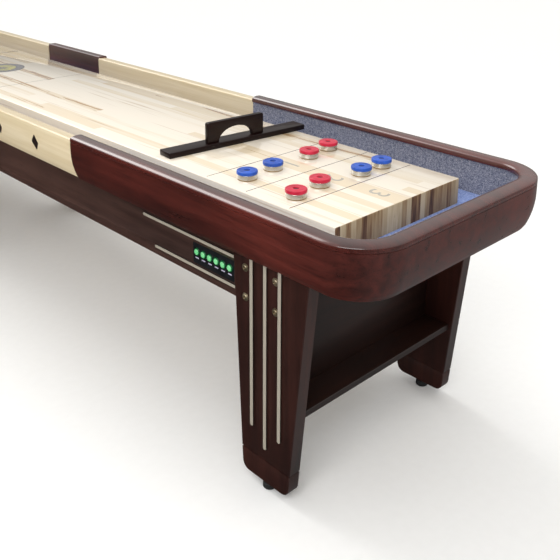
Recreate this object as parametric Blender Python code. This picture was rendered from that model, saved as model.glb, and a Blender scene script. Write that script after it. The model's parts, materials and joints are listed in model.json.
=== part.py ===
"""Shuffleboard table: a long butcher-block playfield in a gutter cabinet on three pairs of plate legs.

Metres, +Z up, +X along the table, origin on the floor under the middle of the table.
The control panel is on the -Y side at the +X end.
"""
import math

import bmesh
import bpy
from mathutils import Matrix, Vector

# ---- driving dimensions -------------------------------------------------------------------
TABLE_LENGTH = 4.880          # over the two hoods
PLAY_TOP = 0.747              # playing surface above the floor
PLAY_WIDTH = 0.508
PLAY_THICK = 0.0762
PLAY_EDGE = 0.003             # rounding of the playfield's edges
SIDE_GUTTER = 0.0972          # playfield side to the side wall's carpet
END_GUTTER = 0.1680           # playfield end to the end wall's carpet
FIT = 0.0003                  # gap between two pieces that touch

# cabinet walls; rises and drops are measured from the playing surface
WALL_DROP = 0.1010            # bottom of the walls
HOOD_RISE = 0.0230            # top of the hood's wall, under its rim
RIM_HEIGHT = 0.0190
RIM_WIDTH = 0.0490
RIM_ROUND = 0.0080
HOOD_WALL = 0.0405            # outer face to inner face, at the widest level
BULGE_DROP = 0.0050           # above this level the outer face is upright
BULGE_RADIUS = 0.2070         # below it the face curves inwards on this radius
CORNER_RADIUS = 0.1400        # hood corner in plan
CORNER_STEPS = 8              # facets round a hood corner, shared by all that follows it
HOOD_LENGTH = 1.1630          # from the table's end to the joint with the maple rail
MAPLE_RISE = 0.0300
MAPLE_SET_BACK = 0.0050       # maple's outer face behind the hood's
MAPLE_INNER_STEP = 0.0035     # maple's inner face behind the hood wall's inner face
RAIL_ROUND = 0.0060           # top edges of the maple rails and centre blocks
CENTRE_BLOCK_LENGTH = 0.4600
CENTRE_BLOCK_RISE = 0.0370
CARPET = 0.0030
DECK_THICK = 0.0190

# cradle under the deck
BEAM_THICK = 0.0400
BEAM_HEIGHT = 0.1312
BEAM_END = 0.2600             # beam end to the table's end
MEMBER_THICK = 0.0400
APRON_THICK = 0.0327
APRON_HEIGHT = 0.1411

# legs
LEG_THICK = 0.0390
LEG_CLEAR = 0.0032            # leg's outer face behind the walls' inner face
LEG_FROM_END = 0.3472         # centre of an end leg's foot to the table's end
LEG_FOOT_HALF = 0.0857
LEG_TAPER = 0.0480            # widening towards mid-table, per metre of height
LEG_TAPER_END = 0.1000        # widening of an end leg towards the table's end
LEG_BOTTOM = 0.0220
LEG_CORNER = 0.0250
LEG_EDGE = 0.0020
GROOVE_RISE = 0.0650          # groove above the leg's bottom
GROOVE_HALF = 0.0030
GROOVE_DEPTH = 0.0030
PANEL_THICK = 0.0200
SHELF_TOP = 0.2580
SHELF_THICK = 0.0180
SHELF_HALF = 0.0960           # half the shelf's depth
PAD_RADIUS = 0.0185
PAD_GAP = 0.0050              # pad's top below the leg
STEM_RADIUS = 0.0060
STEM_UP = 0.0320              # thread inside the leg
STEM_CLEAR = 0.0005
THREAD_ROOM = 0.0080          # bore above the thread

# control panel
BUTTON_COUNT = 6
BUTTON_PITCH = 0.0266
BUTTON_RADIUS = 0.0100
BUTTON_PROUD = 0.0065
BUTTON_TRAVEL = 0.0020
BUTTON_BARREL = 0.0070        # behind the plate's back face
BUTTON_CLEAR = 0.0005
PANEL_MARGIN = 0.0170         # last button's centre to the plate's left end
PANEL_MARGIN_LEG = 0.0170     # first button's centre to the plate's end at the leg
PANEL_TO_LEG = 0.0060         # plate's end to the leg's edge at the plate's top
PANEL_HEIGHT = 0.0600
PANEL_RISE = 0.0349           # plate's low edge above the apron's bottom
BUTTON_RISE = 0.0350          # buttons above the plate's low edge
PLATE_THICK = 0.0030
BOARD_THICK = 0.0020
BOARD_INSET = 0.0040
BOARD_ROOM = 0.0047           # air between pressed buttons and the circuit board

# pucks: distance of each row from the playfield's end, and the pucks' places across it
PUCK_RADIUS = 0.0293
PUCK_HEIGHT = 0.0254
FRONT_ROW = ((0.209, 0.173, "blue"), (0.205, 0.080, "blue"), (0.220, -0.072, "red"), (0.203, -0.179, "red"))
REAR_ROW = ((0.425, 0.183, "red"), (0.410, 0.084, "red"), (0.403, -0.070, "blue"), (0.394, -0.176, "blue"))

# sweep
SWEEP_FROM_END = 0.6763
SWEEP_Y = 0.0292
SWEEP_SKEW = math.radians(-5.2)
BAR_OVERHANG = 0.0090         # the bar is longer than the playfield is wide
BAR_WIDTH = 0.0580
BAR_HEIGHT = 0.0172
BAR_EDGE = 0.0020
HANDLE_LENGTH = 0.2110
HANDLE_THICK = 0.0160
HANDLE_RISE = 0.0653          # handle's top above the bar
HANDLE_CORNER = 0.0060
HANDLE_SHIFT = -0.0124        # along the bar
HANDLE_SETBACK = 0.0094       # handle's face behind the bar's
HOLE_HALF = 0.0650
HOLE_RISE = 0.0410

# ---- derived dimensions -------------------------------------------------------------------
HALF_L = TABLE_LENGTH / 2
HALF_W = PLAY_WIDTH / 2 + SIDE_GUTTER + CARPET + FIT + HOOD_WALL
PLAY_HALF = HALF_L - HOOD_WALL - FIT - CARPET - END_GUTTER
WALL_BOTTOM = PLAY_TOP - WALL_DROP
BULGE_LEVEL = PLAY_TOP - BULGE_DROP
HOOD_TOP = PLAY_TOP + HOOD_RISE
RIM_TOP = HOOD_TOP + RIM_HEIGHT
MAPLE_TOP = PLAY_TOP + MAPLE_RISE
CENTRE_BLOCK_TOP = PLAY_TOP + CENTRE_BLOCK_RISE
DECK_TOP = PLAY_TOP - PLAY_THICK - FIT
DECK_BOTTOM = DECK_TOP - DECK_THICK
HOOD_START = HALF_L - HOOD_LENGTH
LEG_OUT = HALF_W - HOOD_WALL - LEG_CLEAR
LEG_IN = LEG_OUT - LEG_THICK
BEAM_OUTER = LEG_IN - FIT
UNDER_DECK = DECK_BOTTOM - FIT
BEAM_BOTTOM = UNDER_DECK - BEAM_HEIGHT
APRON_BOTTOM = UNDER_DECK - APRON_HEIGHT
APRON_BACK = BEAM_OUTER + FIT
APRON_FACE = APRON_BACK + APRON_THICK
LEG_X = HALF_L - LEG_FROM_END
LEG_STATIONS = {"near": LEG_X, "middle": 0.0, "far": -LEG_X}
MEMBER_X = LEG_X / 2          # cross members half way between the leg pairs
GROOVE_LEVEL = LEG_BOTTOM + GROOVE_RISE
PAD_HEIGHT = LEG_BOTTOM - PAD_GAP
STEM_TOP = LEG_BOTTOM + STEM_UP
BAR_LENGTH = PLAY_WIDTH + BAR_OVERHANG


# ---- scene and mesh helpers ---------------------------------------------------------------
def clear_scene():
    for item in list(bpy.data.objects):
        bpy.data.objects.remove(item, do_unlink=True)


def material(name, color, roughness, metallic=0.0):
    mat = bpy.data.materials.get(name)
    if mat is None:
        mat = bpy.data.materials.new(name)
        mat.use_nodes = True
        shader = mat.node_tree.nodes["Principled BSDF"]
        shader.inputs["Base Color"].default_value = (*color, 1.0)
        shader.inputs["Roughness"].default_value = roughness
        shader.inputs["Metallic"].default_value = metallic
    return mat


def finish(bm, name, mat, smooth=None):
    """Turn a bmesh into a named object; smooth is the angle in degrees above which edges stay sharp."""
    bmesh.ops.recalc_face_normals(bm, faces=bm.faces)
    mesh = bpy.data.meshes.new(name)
    bm.to_mesh(mesh)
    bm.free()
    mesh.materials.append(mat)
    if smooth is not None:
        mesh.shade_smooth()
        mesh.set_sharp_from_angle(angle=math.radians(smooth))
    item = bpy.data.objects.new(name, mesh)
    bpy.context.collection.objects.link(item)
    return item


def cut(item, cutter):
    """Leave an exact difference on item and hide its cutter."""
    cutter.hide_render = True
    cutter.display_type = "WIRE"
    mod = item.modifiers.new("cut", "BOOLEAN")
    mod.operation = "DIFFERENCE"
    mod.solver = "EXACT"
    mod.object = cutter


def box_mesh(low, high):
    bm = bmesh.new()
    bmesh.ops.create_cube(bm, size=1.0)
    low, high = Vector(low), Vector(high)
    size = high - low
    bmesh.ops.scale(bm, vec=size, verts=bm.verts)
    bmesh.ops.translate(bm, vec=(low + high) / 2, verts=bm.verts)
    return bm


def edges_along(bm, axis):
    """Edges that run along one axis."""
    found = []
    for edge in bm.edges:
        run = (edge.verts[1].co - edge.verts[0].co).normalized()
        if abs(run[axis]) > 0.999:
            found.append(edge)
    return found


def round_edges(bm, edges, radius, segments):
    bmesh.ops.bevel(bm, geom=edges, offset=radius, offset_type="OFFSET", segments=segments,
                    profile=0.5, affect="EDGES", material=-1, clamp_overlap=True)


def outline_mesh(points, axis, low, high):
    """Extrude a closed outline of (u, v) points along an axis: x takes (y, z), y takes (x, z), z takes (x, y)."""
    bm = bmesh.new()
    verts = []
    for u, v in points:
        co = [u, v]
        co.insert(axis, low)
        verts.append(bm.verts.new(co))
    face = bm.faces.new(verts)
    grown = bmesh.ops.extrude_face_region(bm, geom=[face])
    moved = [v for v in grown["geom"] if isinstance(v, bmesh.types.BMVert)]
    shift = Vector((0, 0, 0))
    shift[axis] = high - low
    bmesh.ops.translate(bm, vec=shift, verts=moved)
    return bm


def lathe_mesh(profile, steps):
    """Turn an open (radius, height) profile, from axis to axis, about Z."""
    bm = bmesh.new()
    verts = [bm.verts.new((r, 0.0, h)) for r, h in profile]
    edges = [bm.edges.new(pair) for pair in zip(verts, verts[1:])]
    bmesh.ops.spin(bm, geom=verts + edges, cent=(0, 0, 0), axis=(0, 0, 1), dvec=(0, 0, 0),
                   angle=2 * math.pi, steps=steps, use_merge=True, use_duplicate=False)
    bmesh.ops.remove_doubles(bm, verts=bm.verts, dist=0.00001)
    return bm


def arc(cx, cy, radius, start, end, steps):
    """Points on a circle, angles in degrees, both ends included."""
    points = []
    for i in range(steps + 1):
        angle = math.radians(start + (end - start) * i / steps)
        points.append((cx + radius * math.cos(angle), cy + radius * math.sin(angle)))
    return points


def u_sweep(profile, start_x, sign):
    """Sweep a closed (inset, z) profile round one end of the table, from the -Y side to the +Y side."""
    centre_x = HALF_L - CORNER_RADIUS
    centre_y = HALF_W - CORNER_RADIUS
    bm = bmesh.new()
    verts = [bm.verts.new((start_x, -HALF_W + inset, z)) for inset, z in profile]
    loop = [bm.edges.new((verts[i], verts[(i + 1) % len(verts)])) for i in range(len(verts))]
    bm.faces.new(verts)

    def straight(edges, shift):
        grown = bmesh.ops.extrude_edge_only(bm, edges=edges)["geom"]
        moved = [g for g in grown if isinstance(g, bmesh.types.BMVert)]
        bmesh.ops.translate(bm, vec=shift, verts=moved)
        fresh = set(moved)
        return [g for g in grown if isinstance(g, bmesh.types.BMEdge) and set(g.verts) <= fresh]

    def corner(edges, centre):
        around = list({v for e in edges for v in e.verts})
        turned = bmesh.ops.spin(bm, geom=around + edges, cent=centre, axis=(0, 0, 1), dvec=(0, 0, 0),
                                angle=math.pi / 2, steps=CORNER_STEPS, use_merge=False, use_duplicate=False)
        return [g for g in turned["geom_last"] if isinstance(g, bmesh.types.BMEdge)]

    loop = straight(loop, (centre_x - start_x, 0, 0))
    loop = corner(loop, (centre_x, -centre_y, 0))
    loop = straight(loop, (0, 2 * centre_y, 0))
    loop = corner(loop, (centre_x, centre_y, 0))
    loop = straight(loop, (start_x - centre_x, 0, 0))
    bmesh.ops.contextual_create(bm, geom=loop)
    bmesh.ops.scale(bm, vec=(sign, 1, 1), verts=bm.verts)
    return bm


# ---- cabinet ------------------------------------------------------------------------------
def bulge_inset(level):
    """How far the curved outer face lies inside its widest line at a level."""
    drop = max(0.0, BULGE_LEVEL - level)
    return BULGE_RADIUS - math.sqrt(BULGE_RADIUS ** 2 - drop ** 2)


def wall_profile(top, outer_inset, inner_inset, top_round=0.0, lip=None):
    """Closed (inset, z) section of a wall, from the bottom of its curved face up and back down inside."""
    steps = 6
    points = []
    for i in range(steps + 1):
        level = WALL_BOTTOM + (BULGE_LEVEL - WALL_BOTTOM) * i / steps
        points.append((outer_inset + bulge_inset(level), level))
    if top_round:
        outer = arc(outer_inset + top_round, top - top_round, top_round, 180, 90, 3)
        inner = arc(inner_inset - top_round, top - top_round, top_round, 90, 0, 3)
        points += outer + inner
    else:
        points += [(outer_inset, top), (inner_inset, top)]
    if lip is not None:
        points += [(inner_inset, DECK_TOP + FIT), (lip, DECK_TOP + FIT), (lip, WALL_BOTTOM)]
    else:
        points.append((inner_inset, WALL_BOTTOM))
    return points


def hoods(dark):
    section = wall_profile(HOOD_TOP - FIT, 0.0, HOOD_WALL)
    low, high = HOOD_TOP, RIM_TOP
    edge = RIM_ROUND
    rim = [(0.0, low)]
    rim += arc(edge, high - edge, edge, 180, 90, 4)
    rim += arc(RIM_WIDTH - edge, high - edge, edge, 90, 0, 4)
    rim += [(RIM_WIDTH, low)]
    for name, sign in (("near", 1), ("far", -1)):
        finish(u_sweep(section, HOOD_START, sign), f"hood_{name}", dark, 35)
        finish(u_sweep(rim, HOOD_START, sign), f"hood_rim_{name}", dark, 50)


def wall_liners(carpet):
    outer = HOOD_WALL + FIT
    inner = outer + CARPET
    low, high = DECK_TOP + FIT, HOOD_TOP - FIT
    section = [(outer, low), (outer, high), (inner, high), (inner, low)]
    for name, sign in (("near", 1), ("far", -1)):
        finish(u_sweep(section, HOOD_START, sign), f"wall_carpet_{name}", carpet, 35)


def side_piece(section, low_x, high_x, side, name, mat, smooth):
    """A straight wall piece; side is -1 for the control-panel side, +1 for the other."""
    points = [(side * (HALF_W - inset), z) for inset, z in section]
    finish(outline_mesh(points, 0, low_x, high_x), name, mat, smooth)


def side_rails(maple, dark):
    inner = HOOD_WALL + MAPLE_INNER_STEP
    rail = wall_profile(MAPLE_TOP, MAPLE_SET_BACK, inner, RAIL_ROUND, lip=HOOD_WALL)
    block = wall_profile(CENTRE_BLOCK_TOP, 0.0, HOOD_WALL, RAIL_ROUND)
    half = CENTRE_BLOCK_LENGTH / 2
    for side, label in ((-1, "front"), (1, "back")):
        side_piece(rail, half + FIT, HOOD_START - FIT, side, f"maple_rail_{label}_near", maple, 35)
        side_piece(rail, -HOOD_START + FIT, -half - FIT, side, f"maple_rail_{label}_far", maple, 35)
        side_piece(block, -half, half, side, f"centre_block_{label}", dark, 35)


def rounded_plate(half_x, half_y, low, high, radius):
    bm = box_mesh((-half_x, -half_y, low), (half_x, half_y, high))
    round_edges(bm, edges_along(bm, 2), radius, CORNER_STEPS)
    return bm


def deck_and_carpet(ply, carpet):
    inset = HOOD_WALL + FIT
    finish(rounded_plate(HALF_L - inset, HALF_W - inset, DECK_BOTTOM, DECK_TOP, CORNER_RADIUS - inset),
           "gutter_deck", ply, 35)
    inset = HOOD_WALL + CARPET + 2 * FIT
    floor = finish(rounded_plate(HALF_L - inset, HALF_W - inset, DECK_TOP + FIT, DECK_TOP + FIT + CARPET,
                                 CORNER_RADIUS - inset), "gutter_carpet", carpet, 35)
    window = box_mesh((-PLAY_HALF - FIT, -PLAY_WIDTH / 2 - FIT, DECK_TOP - CARPET),
                      (PLAY_HALF + FIT, PLAY_WIDTH / 2 + FIT, DECK_TOP + 3 * CARPET))
    cut(floor, finish(window, "carpet_window_cutter", carpet))


def playfield(maple):
    bm = box_mesh((-PLAY_HALF, -PLAY_WIDTH / 2, PLAY_TOP - PLAY_THICK), (PLAY_HALF, PLAY_WIDTH / 2, PLAY_TOP))
    round_edges(bm, list(bm.edges), PLAY_EDGE, 2)
    finish(bm, "playfield", maple, 35)


# ---- cradle and legs ----------------------------------------------------------------------
def leg_reach(level, taper=LEG_TAPER):
    """Distance from a leg's centre line to its edge, at a level above the floor."""
    return LEG_FOOT_HALF + taper * (level - LEG_BOTTOM)


def cradle(ply, dark):
    end = HALF_L - BEAM_END
    inner = BEAM_OUTER - BEAM_THICK
    for side, label in ((-1, "front"), (1, "back")):
        low_y, high_y = sorted((side * inner, side * BEAM_OUTER))
        finish(box_mesh((-end, low_y, BEAM_BOTTOM), (end, high_y, UNDER_DECK)),
               f"cradle_beam_{label}", ply)
    reach = inner - FIT
    for label, x in (("near", MEMBER_X), ("middle", 0.0), ("far", -MEMBER_X)):
        finish(box_mesh((x - MEMBER_THICK / 2, -reach, BEAM_BOTTOM + BEAM_THICK / 2),
                        (x + MEMBER_THICK / 2, reach, UNDER_DECK)), f"cross_member_{label}", ply)
    wide = BEAM_OUTER
    low, shoulder, top = SHELF_TOP + FIT, BEAM_BOTTOM - FIT, UNDER_DECK
    outline = [(-wide, low), (wide, low), (wide, shoulder), (reach, shoulder),
               (reach, top), (-reach, top), (-reach, shoulder), (-wide, shoulder)]
    for label in ("near", "far"):
        x = LEG_STATIONS[label]
        finish(outline_mesh(outline, 0, x - PANEL_THICK / 2, x + PANEL_THICK / 2), f"leg_panel_{label}", dark)
        shelf = box_mesh((x - SHELF_HALF, -BEAM_OUTER, SHELF_TOP - SHELF_THICK),
                         (x + SHELF_HALF, BEAM_OUTER, SHELF_TOP))
        round_edges(shelf, edges_along(shelf, 1), 0.0015, 1)
        finish(shelf, f"leg_shelf_{label}", dark)


def leg_tapers(x):
    """A leg's tapers towards -X and +X: an end leg leans out further towards the table's end."""
    return (LEG_TAPER_END if x < 0 else LEG_TAPER), (LEG_TAPER_END if x > 0 else LEG_TAPER)


def leg_outline(x):
    r = LEG_CORNER
    foot = LEG_FOOT_HALF
    left, right = leg_tapers(x)
    points = arc(foot - r, LEG_BOTTOM + r, r, -90, 0, 5)
    points += [(leg_reach(UNDER_DECK, right), UNDER_DECK), (-leg_reach(UNDER_DECK, left), UNDER_DECK)]
    points += arc(r - foot, LEG_BOTTOM + r, r, 180, 270, 5)
    return [(x + u, v) for u, v in points]


def leg(x, side, name, dark):
    """One plate leg: tapered outline, eased edges, a V groove all round and a threaded hole below."""
    low_y, high_y = sorted((side * LEG_IN, side * LEG_OUT))
    bm = outline_mesh(leg_outline(x), 1, low_y, high_y)
    rims = [e for e in bm.edges if abs(e.verts[0].co.y - e.verts[1].co.y) < 1e-6]
    round_edges(bm, rims, LEG_EDGE, 1)
    for level in (GROOVE_LEVEL - GROOVE_HALF, GROOVE_LEVEL, GROOVE_LEVEL + GROOVE_HALF):
        geom = list(bm.verts) + list(bm.edges) + list(bm.faces)
        bmesh.ops.bisect_plane(bm, geom=geom, dist=1e-6, plane_co=(0, 0, level), plane_no=(0, 0, 1))
    mid_y = (low_y + high_y) / 2
    for vert in bm.verts:
        if abs(vert.co.z - GROOVE_LEVEL) < 1e-5:
            reach = abs(vert.co.x - x)
            vert.co.x = x + (vert.co.x - x) * (reach - GROOVE_DEPTH) / reach
            vert.co.y = mid_y + (vert.co.y - mid_y) * (LEG_THICK / 2 - GROOVE_DEPTH) / (LEG_THICK / 2)
    item = finish(bm, name, dark)
    radius = STEM_RADIUS + STEM_CLEAR
    bore = lathe_mesh([(0, LEG_BOTTOM - 0.01), (radius, LEG_BOTTOM - 0.01),
                       (radius, STEM_TOP + THREAD_ROOM), (0, STEM_TOP + THREAD_ROOM)], 16)
    bmesh.ops.translate(bore, vec=(x, mid_y, 0), verts=bore.verts)
    cut(item, finish(bore, f"{name}_bore_cutter", dark))


def leveller(x, side, name, rubber):
    """Screw-in levelling foot: a thick pad on a thread that turns up into the leg."""
    edge = 0.002
    profile = [(0, 0), (PAD_RADIUS - edge, 0), (PAD_RADIUS, edge), (PAD_RADIUS, PAD_HEIGHT - edge),
               (PAD_RADIUS - edge, PAD_HEIGHT), (STEM_RADIUS, PAD_HEIGHT), (STEM_RADIUS, STEM_TOP), (0, STEM_TOP)]
    item = finish(lathe_mesh(profile, 20), name, rubber, 35)
    item.location = (x, side * (LEG_IN + LEG_OUT) / 2, 0)


def legs(dark, rubber):
    for label, x in LEG_STATIONS.items():
        for side, where in ((-1, "front"), (1, "back")):
            leg(x, side, f"leg_{label}_{where}", dark)
            leveller(x, side, f"leveller_{label}_{where}", rubber)


def aprons(dark):
    """Boards between the legs; their ends follow the legs' taper."""
    low, high = APRON_BOTTOM, UNDER_DECK
    items = {}
    for side, where in ((-1, "front"), (1, "back")):
        for label, sign in (("near", 1), ("far", -1)):
            points = [(sign * (leg_reach(low) + FIT), low), (sign * (LEG_X - leg_reach(low) - FIT), low),
                      (sign * (LEG_X - leg_reach(high) - FIT), high), (sign * (leg_reach(high) + FIT), high)]
            low_y, high_y = sorted((side * APRON_BACK, side * APRON_FACE))
            bm = outline_mesh(points, 1, low_y, high_y)
            items[where, label] = finish(bm, f"apron_{where}_{label}", dark)
    return items


# ---- control panel ------------------------------------------------------------------------
def control_panel(apron, black, green, board):
    """Panel plate let into the apron beside the leg, with a row of sprung buttons over a circuit board."""
    front = -APRON_FACE
    right = LEG_X - leg_reach(APRON_BOTTOM + PANEL_RISE + PANEL_HEIGHT) - PANEL_TO_LEG
    first = right - PANEL_MARGIN_LEG
    places = [first - i * BUTTON_PITCH for i in range(BUTTON_COUNT)]
    left = places[-1] - PANEL_MARGIN
    low = APRON_BOTTOM + PANEL_RISE
    high = low + PANEL_HEIGHT
    level = low + BUTTON_RISE
    back = PLATE_THICK + BUTTON_BARREL
    depth = back + BUTTON_TRAVEL + BOARD_ROOM + BOARD_THICK + FIT
    pocket = box_mesh((left, front - PLATE_THICK, low), (right, front + depth, high))
    cut(apron, finish(pocket, "panel_pocket_cutter", black))
    plate = finish(box_mesh((left + FIT, front, low + FIT), (right - FIT, front + PLATE_THICK, high - FIT)),
                   "control_plate", black)
    holes = bmesh.new()
    radius = BUTTON_RADIUS + BUTTON_CLEAR
    for x in places:
        turn = Matrix.Translation((x, front + PLATE_THICK / 2, level)) @ Matrix.Rotation(math.pi / 2, 4, "X")
        bmesh.ops.create_cone(holes, cap_ends=True, segments=24, radius1=radius, radius2=radius,
                              depth=4 * PLATE_THICK, matrix=turn)
    cut(plate, finish(holes, "button_holes_cutter", black))
    finish(box_mesh((left + BOARD_INSET, front + depth - BOARD_THICK - FIT, low + BOARD_INSET),
                    (right - BOARD_INSET, front + depth - FIT, high - BOARD_INSET)), "control_board", board)
    dome = arc(0, 0, 1, 0, 90, 4)
    profile = [(0, -back), (BUTTON_RADIUS, -back), (BUTTON_RADIUS, 0)]
    profile += [(BUTTON_RADIUS * u, BUTTON_PROUD * v) for u, v in dome[1:-1]] + [(0, BUTTON_PROUD)]
    for i, x in enumerate(reversed(places)):
        button = finish(lathe_mesh(profile, 20), f"button_{i + 1}", green, 50)
        button.rotation_euler = (math.pi / 2, 0, 0)
        button.location = (x, front, level)


# ---- loose pieces on the playfield --------------------------------------------------------
def pucks(red, blue):
    """Steel weights under plastic caps with a round recess."""
    r, h = PUCK_RADIUS, PUCK_HEIGHT
    waist = h * 0.68
    profile = [(0, 0), (r * 0.90, 0), (r * 0.96, h * 0.10), (r * 0.96, waist), (r, waist + h * 0.04),
               (r, h * 0.93), (r * 0.94, h), (r * 0.40, h), (r * 0.34, h * 0.86), (0, h * 0.86)]
    for row, places in (("front", FRONT_ROW), ("rear", REAR_ROW)):
        for i, (from_end, y, colour) in enumerate(places):
            mat = red if colour == "red" else blue
            puck = finish(lathe_mesh(profile, 24), f"puck_{row}_{colour}_{i + 1}", mat, 35)
            puck.location = (PLAY_HALF - from_end, y, PLAY_TOP + FIT)


def sweep(dark):
    """Wiper bar with an upright handle board that has a half-moon finger hole over the bar."""
    place = Matrix.Translation((PLAY_HALF - SWEEP_FROM_END, SWEEP_Y, PLAY_TOP + FIT))
    place = place @ Matrix.Rotation(SWEEP_SKEW, 4, "Z")
    half_x, half_y = BAR_WIDTH / 2, BAR_LENGTH / 2
    bar = box_mesh((-half_x, -half_y, 0), (half_x, half_y, BAR_HEIGHT))
    round_edges(bar, list(bar.edges), BAR_EDGE, 2)
    item = finish(bar, "sweep_bar", dark, 35)
    item.matrix_world = place
    low, high = BAR_HEIGHT + FIT, BAR_HEIGHT + HANDLE_RISE
    half = HANDLE_LENGTH / 2
    corner = HANDLE_CORNER
    points = [(-half, low)]
    points += arc(corner - half, high - corner, corner, 180, 90, 3)
    points += arc(half - corner, high - corner, corner, 90, 0, 3)
    points += [(half, low)]
    points += [(HOLE_HALF * u, low + HOLE_RISE * v) for u, v in arc(0, 0, 1, 0, 180, 14)]
    face = half_x - HANDLE_SETBACK
    board = outline_mesh([(u + HANDLE_SHIFT, v) for u, v in points], 0, face - HANDLE_THICK, face)
    item = finish(board, "sweep_handle", dark, 35)
    item.matrix_world = place


def build():
    clear_scene()
    dark = material("espresso_lacquered_wood", (0.060, 0.022, 0.014), 0.30)
    maple = material("natural_maple", (0.72, 0.55, 0.36), 0.35)
    block = material("coated_butcher_block", (0.76, 0.62, 0.44), 0.08)
    ply = material("birch_plywood", (0.55, 0.40, 0.24), 0.60)
    carpet = material("blue_gutter_carpet", (0.14, 0.17, 0.26), 0.95)
    rubber = material("black_rubber", (0.02, 0.02, 0.02), 0.60)
    black = material("black_panel_plastic", (0.015, 0.015, 0.018), 0.35)
    green = material("green_button_lens", (0.15, 0.75, 0.25), 0.20)
    board = material("circuit_board", (0.02, 0.14, 0.06), 0.50)
    red = material("red_puck", (0.60, 0.02, 0.06), 0.30)
    blue = material("blue_puck", (0.04, 0.12, 0.55), 0.30)
    playfield(block)
    deck_and_carpet(ply, carpet)
    hoods(dark)
    wall_liners(carpet)
    side_rails(maple, dark)
    cradle(ply, dark)
    legs(dark, rubber)
    boards = aprons(dark)
    control_panel(boards["front", "near"], black, green, board)
    pucks(red, blue)
    sweep(dark)


build()
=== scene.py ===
"""Finishes, trim and stage of the shuffleboard table.

Metres, +Z up, +X along the table to the end with the buttons, -Y the side that carries them.
"""
import json
import math

import bmesh
import bpy
from mathutils import Matrix, Vector

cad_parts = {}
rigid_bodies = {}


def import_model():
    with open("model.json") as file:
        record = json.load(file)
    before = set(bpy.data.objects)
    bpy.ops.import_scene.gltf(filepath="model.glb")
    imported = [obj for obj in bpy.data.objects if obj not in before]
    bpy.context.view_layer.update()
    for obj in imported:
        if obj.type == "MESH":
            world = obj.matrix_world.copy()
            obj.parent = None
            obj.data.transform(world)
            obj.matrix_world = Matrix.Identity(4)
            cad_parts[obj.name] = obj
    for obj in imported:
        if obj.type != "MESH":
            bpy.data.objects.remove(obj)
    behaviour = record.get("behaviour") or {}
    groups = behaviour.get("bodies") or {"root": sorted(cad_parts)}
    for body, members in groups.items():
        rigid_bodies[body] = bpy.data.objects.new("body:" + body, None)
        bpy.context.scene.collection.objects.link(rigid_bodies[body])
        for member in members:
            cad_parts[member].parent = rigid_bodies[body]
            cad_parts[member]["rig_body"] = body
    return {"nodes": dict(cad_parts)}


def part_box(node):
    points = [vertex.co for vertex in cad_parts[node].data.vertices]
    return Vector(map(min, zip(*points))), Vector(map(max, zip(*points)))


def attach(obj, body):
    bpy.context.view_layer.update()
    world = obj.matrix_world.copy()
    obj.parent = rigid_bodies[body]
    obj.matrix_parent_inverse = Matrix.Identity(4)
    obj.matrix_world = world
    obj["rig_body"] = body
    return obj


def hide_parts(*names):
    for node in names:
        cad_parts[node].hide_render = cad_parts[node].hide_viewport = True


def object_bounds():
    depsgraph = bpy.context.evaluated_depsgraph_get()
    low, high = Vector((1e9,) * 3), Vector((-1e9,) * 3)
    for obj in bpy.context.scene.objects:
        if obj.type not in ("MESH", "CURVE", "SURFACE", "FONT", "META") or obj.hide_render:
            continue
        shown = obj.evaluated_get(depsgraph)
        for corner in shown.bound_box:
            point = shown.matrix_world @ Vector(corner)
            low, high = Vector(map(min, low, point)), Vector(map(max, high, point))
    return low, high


bl_info = {
    "name": "Shuffleboard Table",
    "version": (1, 0, 0),
    "blender": (4, 5, 0),
    "location": "3D View > Sidebar > Shuffleboard",
    "description": "Builds the finishes, trim and stage of a shuffleboard table",
    "category": "Object",
}

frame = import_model()
CAD_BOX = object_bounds()
NODES = frame["nodes"]
ENDS = (("near", 1), ("far", -1))
SIDES = (("front", -1), ("back", 1))

# places of the trim, in metres
LEG_STRIPS = ((-0.0445, 0.172), (0.0045, 0.125), (0.0553, 0.172))  # offset from the foot, lower end
LEG_BOLTS = ((-0.0701, 0.607), (-0.0701, 0.527), (0.0377, 0.607), (0.0377, 0.527))  # offset, height
LEG_LEAN = 0.048  # lean of the legs' inner edges, per metre of height
APRON_STRIPS = ((0.6195, 0.3925), (0.5375, 0.3435))  # height, length
STRIP_FACING = 0.0008  # thickness of a strip's bright face
STRIP_GAP = 0.0015  # apron strip's end to the leg
DIAMOND_OFFSET = 0.0265  # middle diamond from the middle of its rail, away from mid-table
INK_LOW, INK_HIGH = 0.00002, 0.00012  # underside and top of printed ink above the playfield
SCREW_PLACE = (1.880, 0.5257)  # x and height of the screw under the control panel
KEY_PLACE, KEY_AIM = (3.6, -3.2, 3.4), (2.0, 0.0, 0.7)
FLOOR_HALF = 60.0


# ---- colour and mesh helpers --------------------------------------------------------------
def linear(text, alpha=1.0):
    """An sRGB hex colour as linear light."""
    values = []
    for i in (0, 2, 4):
        c = int(text[i:i + 2], 16) / 255
        values.append(c / 12.92 if c <= 0.04045 else ((c + 0.055) / 1.055) ** 2.4)
    return (*values, alpha)


def ink(text):
    """The same colour as a three-part default for a property."""
    return linear(text)[:3]


def opaque(colour):
    """A property's three-part colour as a four-part one."""
    return (*colour, 1)


def node_box(name):
    low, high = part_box(name)
    return Vector(low), Vector(high)


def body_of(name):
    return NODES[name]["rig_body"]


def piece(name, bm, mat, body="table", stands_for=(), smooth=35):
    """Turn a bmesh into a finished piece that rides on a body and may stand for CAD nodes."""
    bmesh.ops.recalc_face_normals(bm, faces=bm.faces)
    mesh = bpy.data.meshes.new(name)
    bm.to_mesh(mesh)
    bm.free()
    mesh.materials.append(mat)
    mesh.shade_smooth()
    mesh.set_sharp_from_angle(angle=math.radians(smooth))
    item = bpy.data.objects.new(name, mesh)
    bpy.context.scene.collection.objects.link(item)
    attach(item, body)
    if stands_for:
        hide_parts(*stands_for)
    return item


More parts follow.
